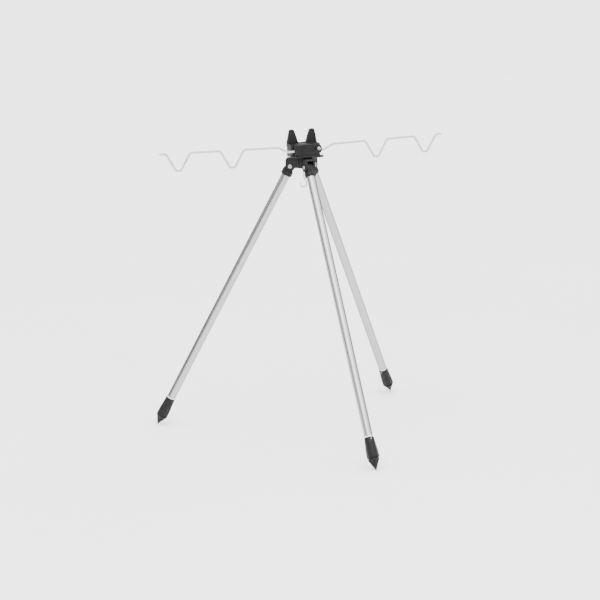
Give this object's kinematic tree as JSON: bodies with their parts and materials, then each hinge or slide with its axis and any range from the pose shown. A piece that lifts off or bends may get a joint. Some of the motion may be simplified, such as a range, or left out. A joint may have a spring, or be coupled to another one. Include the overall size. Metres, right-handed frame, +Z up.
{
  "type": "tripod rod rest",
  "caption": "Folding tripod rest for feeder rods: telescopic tube legs with pointed feet, a horned yoke, notched wire arms and a hanging hook.",
  "frame": {"origin": "on the ground, at the middle of the whole rest", "axes": "+Z up out of the rod saddle, the wire arms lie along X, the cover over their roots faces -Y"},
  "size_m": [0.5854, 0.4592, 0.5871],
  "materials": {
    "black_plastic": "moulded, semi-matt",
    "satin_aluminium": "satin anodised",
    "bright_steel": "bright",
    "blackened_steel": "blackened",
    "coated_wire": "pale plastic coat over steel wire",
    "pale_nylon": "natural nylon"
  },
  "bodies": {
    "head": {"yoke": "black_plastic", "leg_hub": "black_plastic", "arm_cover": "black_plastic", "hub_cross_pin": "bright_steel", "arm_rivet_right": "bright_steel", "arm_pin_left": "bright_steel", "leg_rivet_left": "bright_steel", "leg_rivet_front": "bright_steel", "leg_rivet_right": "bright_steel"},
    "arm_left": {"rod_arm_left": "coated_wire"},
    "arm_right": {"rod_arm_right": "coated_wire"},
    "hook": {"hook": "bright_steel"},
    "pull_pin": {"cover_pull_pin": "blackened_steel"},
    "leg_left": {"leg_socket_left": "black_plastic", "leg_tube_outer_left": "satin_aluminium", "leg_end_bush_left": "pale_nylon"},
    "extension_left": {"leg_expander_left": "pale_nylon"},
    "lower_left": {"leg_tube_inner_left": "satin_aluminium", "leg_cone_screw_left": "bright_steel", "foot_left": "black_plastic", "foot_pin_left": "bright_steel"},
    "leg_front": {"leg_socket_front": "black_plastic", "leg_tube_outer_front": "satin_aluminium", "leg_end_bush_front": "pale_nylon"},
    "extension_front": {"leg_expander_front": "pale_nylon"},
    "lower_front": {"leg_tube_inner_front": "satin_aluminium", "leg_cone_screw_front": "bright_steel", "foot_front": "black_plastic", "foot_pin_front": "bright_steel"},
    "leg_right": {"leg_socket_right": "black_plastic", "leg_tube_outer_right": "satin_aluminium", "leg_end_bush_right": "pale_nylon"},
    "extension_right": {"leg_expander_right": "pale_nylon"},
    "lower_right": {"leg_tube_inner_right": "satin_aluminium", "leg_cone_screw_right": "bright_steel", "foot_right": "black_plastic", "foot_pin_right": "bright_steel"}
  },
  "joints": [
    {"name": "arm_left_fold", "type": "hinge", "parent": "head", "child": "arm_left", "pos_m": [-0.013, 0.06065, 0.55167], "axis": [0, 1, 0], "range_deg": [0, 90]},
    {"name": "arm_right_fold", "type": "hinge", "parent": "head", "child": "arm_right", "pos_m": [0.0245, 0.06065, 0.55167], "axis": [0, -1, 0], "range_deg": [0, 90]},
    {"name": "hook_swing", "type": "hinge", "parent": "head", "child": "hook", "pos_m": [0, 0.07265, 0.52107], "axis": [0, 1, 0], "range_deg": [-30, 30]},
    {"name": "pull_pin_slide", "type": "slide", "parent": "head", "child": "pull_pin", "axis": [1, 0, 0], "range_m": [0, 0.03]},
    {"name": "leg_left_fold", "type": "hinge", "parent": "head", "child": "leg_left", "pos_m": [-0.02113, 0.08485, 0.51807], "axis": [-0.5, -0.866, 0], "range_deg": [0, 28.1]},
    {"name": "leg_left_extend", "type": "slide", "parent": "leg_left", "child": "extension_left", "axis": [-0.4084, 0.2358, -0.8818], "range_m": [0, 0.4]},
    {"name": "leg_left_twist_lock", "type": "hinge", "parent": "extension_left", "child": "lower_left", "pos_m": [-0.02113, 0.08485, 0.51807], "axis": [-0.4084, 0.2358, -0.8818], "range_deg": [0, 180]},
    {"name": "leg_front_fold", "type": "hinge", "parent": "head", "child": "leg_front", "pos_m": [0, 0.04825, 0.51807], "axis": [1, 0, 0], "range_deg": [0, 28.1]},
    {"name": "leg_front_extend", "type": "slide", "parent": "leg_front", "child": "extension_front", "axis": [0, -0.4716, -0.8818], "range_m": [0, 0.4]},
    {"name": "leg_front_twist_lock", "type": "hinge", "parent": "extension_front", "child": "lower_front", "pos_m": [0, 0.04825, 0.51807], "axis": [0, -0.4716, -0.8818], "range_deg": [0, 180]},
    {"name": "leg_right_fold", "type": "hinge", "parent": "head", "child": "leg_right", "pos_m": [0.02113, 0.08485, 0.51807], "axis": [-0.5, 0.866, 0], "range_deg": [0, 28.1]},
    {"name": "leg_right_extend", "type": "slide", "parent": "leg_right", "child": "extension_right", "axis": [0.4084, 0.2358, -0.8818], "range_m": [0, 0.4]},
    {"name": "leg_right_twist_lock", "type": "hinge", "parent": "extension_right", "child": "lower_right", "pos_m": [0.02113, 0.08485, 0.51807], "axis": [0.4084, 0.2358, -0.8818], "range_deg": [0, 180]}
  ]
}
